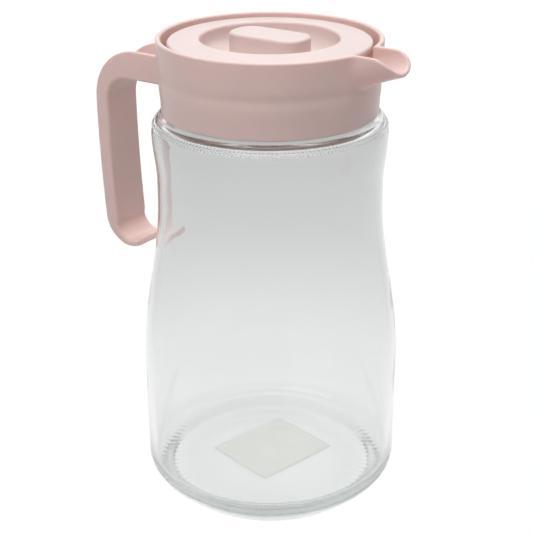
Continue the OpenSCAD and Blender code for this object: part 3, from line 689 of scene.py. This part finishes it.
# the lid as one stack of rings. A round ring is radius times direction. A bar ring is the bar's core
# rectangle plus a reach along its normals, so its corners stay round. Between the two, on the flat floor,
# rings blend from one to the other. The stack runs from the hollow in the bar, out below, over the edge,
# down the recess and up the bar.
def lidCover():
    core, normal = barCore()
    corner, bore = lid["barCorner"], lid["barCorner"] - lid["wall"]
    direction = core + corner * normal
    direction /= np.linalg.norm(direction, axis=1)[:, None]
    cave, low = lid["barTop"] - lid["wall"], lid["recessZ"] - lid["wall"]
    foot, arcZ = lid["recess"] - lid["recessArc"], lid["recessZ"] + lid["recessArc"]
    easeIn, easeOut, fillet = lid["hollowTop"], lid["hollowFoot"], lid["barFoot"]
    edge, barArcZ = lid["radius"] - lid["round"], lid["barTop"] - lid["barRound"]
    lowRound = lid["lowRound"]

    def scaledRings(scales, z):
        return [(scale * core, z) for scale in scales]

    def barRings(line):
        return [(core + reach * normal, z) for reach, z in line]

    def blendRings(reach, z, shares):
        return [((core + reach * normal) * (1 - share) + foot * direction * share, z) for share in shares]

    # the hollow in the bar, and out below it
    rows = scaledRings((0.35, 0.7, 1.0), cave)
    rows += barRings(arcPoints(bore - easeIn, cave - easeIn, easeIn, 90, 0, 5))
    rows += barRings([(bore, z) for z in np.linspace(cave - 2, low + 1, 5)])
    rows += barRings(arcPoints(bore + easeOut, low + easeOut, easeOut, 180, 270, 4))
    rows += blendRings(bore + easeOut, low, (0.3, 0.65))
    # the recess from below, the skirt, the edge, the crowned top and the recess from above
    steps = 3
    skirt = easeCorners([[lid["recess"] + lid["wall"], lid["underZ"]], [lid["skirtIn"], lid["underZ"]],
                         [lid["skirtIn"], lid["skirtZ"]], [lid["skirtOut"], lid["skirtZ"]],
                         [lid["skirtOut"], lid["underZ"]], [lid["radius"], lid["underZ"]]],
                        lid["skirtEase"], steps)
    inner = lid["recess"] + lid["round"]
    crown = np.linspace(0, 1, 12)[1:-1]
    line = np.vstack([
        arcPoints(foot, arcZ, lid["recessArc"] + lid["wall"], -90, 0, 20)[:-1],
        skirt[steps + 1:-steps - 1],  # the skirt's own corners, without the first and the last
        arcPoints(lid["radius"] - lowRound, lid["underZ"] + lowRound, lowRound, -90, 0, 4),
        arcPoints(edge, lid["edgeZ"] - lid["round"], lid["round"], 0, 84, 8),
        np.c_[edge + (inner - edge) * crown, lid["edgeZ"] + (lid["topZ"] - lid["edgeZ"]) * crown],
        arcPoints(inner, lid["topZ"] - lid["round"], lid["round"], 90, 180, 8),
        np.linspace([lid["recess"], lid["topZ"] - lid["round"] - lid["gap"]],
                    [lid["recess"], arcZ + lid["gap"]], 4),
        arcPoints(foot, arcZ, lid["recessArc"], 0, -90, 20)])
    rows += [(radius * direction, z) for radius, z in line]
    # the floor of the recess, and up and over the bar
    rows += blendRings(corner + fillet, lid["recessZ"], (0.7, 0.35, 0.12))
    rows += barRings(arcPoints(corner + fillet, lid["recessZ"] + fillet, fillet, 270, 180, 6))
    rows += barRings([(corner, z) for z in np.linspace(lid["recessZ"] + fillet + 1, barArcZ - 1, 7)])
    rows += barRings(arcPoints(corner - lid["barRound"], barArcZ, lid["barRound"], 0, 90, 9))
    rows += barRings([(reach, lid["barTop"]) for reach in (5.0, 3.0, 1.2, 0.0)])
    rows += scaledRings((0.6, 0.25), lid["barTop"])
    points, faces = closeRings(np.stack([np.c_[ring, np.full(len(ring), z)] for ring, z in rows]))
    makePiece("lidCover", points, faces, lidPlasticPaintedSheen, "lid", "lid_cover")


lidCover()

# the blank label: its sides, its middle and turn under the glass, paper and glue
label = {"wide": 38.5, "long": 44.5, "x": -3.43, "y": 6.03, "turn": -13.0, "thick": 0.25, "glue": 0.03,
         "grid": 41, "cornerPull": 0.012, "cornerPower": 24}


# a thin sheet: a squared grid of (x, y) from -1 to 1, drawn in at its corners by 1 - pull (x y) to the
# power 24, then sized, turned and moved to its place under the glass. Its top face lies in the hollow, a
# film of glue below the glass, and its under face a paper's thickness lower.
def baseLabel():
    count = label["grid"]
    side = np.linspace(-1, 1, count)
    x, y = np.meshgrid(side, side, indexing="ij")
    pull = 1 - label["cornerPull"] * np.abs(x * y) ** label["cornerPower"]
    x, y = x * pull * label["wide"] / 2, y * pull * label["long"] / 2
    turned = math.radians(label["turn"])
    px = label["x"] + x * math.cos(turned) - y * math.sin(turned)
    py = label["y"] + x * math.sin(turned) + y * math.cos(turned)
    under = puntHeight(np.hypot(px, py)) - label["glue"]
    points = np.vstack([np.stack([px, py, z], 2).reshape(-1, 3) for z in (under, under - label["thick"])])
    flat = gridFaces(count, count, closeColumns=False)
    number = np.arange(count ** 2).reshape(count, count)
    ring = np.r_[number[0], number[1:, -1], number[-1, -2::-1], number[-2:0:-1, 0]]
    following = np.roll(ring, -1)
    rim = np.stack([ring, following, following + count ** 2, ring + count ** 2], 1)
    faces = np.vstack([flat[:, ::-1], flat + count ** 2, rim]).tolist()
    makePiece("baseLabel", points, faces, labelPaper, "jar", "base_label")


baseLabel()

# the plug, its seal and the neck ring keep their own shapes
for node, material in (("lid_plug", lidPlasticPaintedSheen), ("lid_seal", silicone), ("neck_ring", silicone)):
    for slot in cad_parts[node].material_slots:
        slot.material = material
print("nodes dressed")

# floor: its glow near the jug, how it takes the jug's shadow, where the glow rises to white, half its side,
# and the painted shade: the grey it glows through the glass at each distance from the axis; metres
studio = {"floorGlow": 0.9, "floorDim": 0.14, "glowFrom": 0.3, "glowTo": 0.9, "floorHalf": 6.0,
          "through": ((0.05, 0.67), (0.09, 0.77), (0.157, 0.73), (0.34, 0.515), (0.47, 0.47)),
          "aim": (0, 0, 0.15)}
# square soft boxes round the table: name, place in metres, side in metres, watts
lamps = (("topLamp", (0.05, -0.1, 1.1), 0.8, 2.6), ("frontLamp", (0.32, -0.5, 0.95), 1.0, 2.1),
         ("leftLamp", (-0.15, -0.75, 0.9), 1.0, 4.6), ("backLamp", (-0.42, 0.6, 1.15), 0.7, 5.6),
         ("rimLamp", (0.35, 0.75, 0.8), 0.6, 1.6), ("rightLamp", (0.75, 0.05, 1.15), 0.7, 1.7))


# 1 for what the eye meets directly, in gloss or through glass, and 0 for light on its way to a dull surface
def seenByEye(tree, path):
    either = addNode(tree, "ShaderNodeMath", {0: (path, "Is Camera Ray"), 1: (path, "Is Glossy Ray")},
                     operation="MAXIMUM")
    seen = addNode(tree, "ShaderNodeMath", {0: (either, "Value"), 1: (path, "Is Transmission Ray")},
                   operation="MAXIMUM")
    direct = addNode(tree, "ShaderNodeMath", {0: (path, "Diffuse Depth"), 1: 0.5}, operation="LESS_THAN")
    return addNode(tree, "ShaderNodeMath", {0: (seen, "Value"), 1: (direct, "Value")}, operation="MULTIPLY")


# floor: a plain pale sheet. For the eye and in gloss it glows near white and still takes the jug's shadow,
# through the glass it glows a painted shade of grey that falls off with distance from the jug, and for other
# light it is a dull white
def studioFloor():
    material, tree, output = startMaterial("paleFloor")
    path = addNode(tree, "ShaderNodeLightPath")
    place = addNode(tree, "ShaderNodeTexCoord")
    away = addNode(tree, "ShaderNodeVectorMath", {0: (place, "Object")}, operation="LENGTH")
    stops = [(metres, (grey, grey, grey, 1)) for metres, grey in studio["through"]]
    # painted shade: through the glass the floor glows this grey, set by distance from the axis
    paintedFloorShade = addRamp(tree, (away, "Value"), stops)
    white = addNode(tree, "ShaderNodeMapRange", {
        "Value": (away, "Value"), "From Min": studio["glowFrom"], "From Max": studio["glowTo"],
        "To Min": studio["floorGlow"], "To Max": 1.0})
    through = addNode(tree, "ShaderNodeMix", {
        "Factor": (path, "Is Transmission Ray"), "A": (white, "Result"), "B": (paintedFloorShade, "Color")},
        data_type="FLOAT")
    glow = addNode(tree, "ShaderNodeEmission", {"Color": (1, 1, 1, 1), "Strength": (through, "Result")})
    dim = addNode(tree, "ShaderNodeBsdfDiffuse", {"Color": (studio["floorDim"],) * 3 + (1,)})
    looked = addNode(tree, "ShaderNodeAddShader", {0: (glow, "Emission"), 1: (dim, "BSDF")})
    dull = addNode(tree, "ShaderNodeBsdfDiffuse", {"Color": toLinear("#E4E4E4")})
    seen = seenByEye(tree, path)
    mixed = addNode(tree, "ShaderNodeMixShader", {
        0: (seen, "Value"), 1: (dull, "BSDF"), 2: (looked, "Shader")})
    tree.links.new(mixed.outputs[0], output.inputs["Surface"])
    mesh = bpy.data.meshes.new("studioFloor")
    half = studio["floorHalf"]
    corners = [(-half, -half, 0), (half, -half, 0), (half, half, 0), (-half, half, 0)]
    mesh.from_pydata(corners, [], [(0, 1, 2, 3)])
    mesh.materials.append(material)
    floor = bpy.data.objects.new("studioFloor", mesh)
    bpy.context.scene.collection.objects.link(floor)


# a soft lamp: a square sheet of light, aimed at a point
def softLamp(name, place, aim, size, power):
    lamp = bpy.data.lights.new(name, "AREA")
    lamp.shape, lamp.size, lamp.energy = "SQUARE", size, power
    holder = bpy.data.objects.new(name, lamp)
    holder.location = place
    way = np.array(aim) - np.array(place)
    flat = math.hypot(way[0], way[1])
    holder.rotation_euler = (math.atan2(flat, -way[2]), 0, math.atan2(way[1], way[0]) - math.pi / 2)
    bpy.context.scene.collection.objects.link(holder)


# world: white for the eye, in gloss and through glass, and no light of its own on the jug
def studioWorld():
    world = bpy.data.worlds.new("studioWorld")
    world.use_nodes = True
    tree = world.node_tree
    tree.nodes.clear()
    seen = seenByEye(tree, addNode(tree, "ShaderNodeLightPath"))
    sky = addNode(tree, "ShaderNodeBackground", {"Color": (1, 1, 1, 1), "Strength": (seen, "Value")})
    addNode(tree, "ShaderNodeOutputWorld", {"Surface": (sky, "Background")})
    bpy.context.scene.world = world


studioFloor()
for name, place, size, power in lamps:
    softLamp(name, place, studio["aim"], size, power)
bpy.data.objects["leftLamp"].visible_glossy = False  # it would show as a patch in the shoulder
bpy.data.objects["backLamp"].visible_transmission = False  # and this one as a patch on the floor of the glass
studioWorld()
print("studio set")
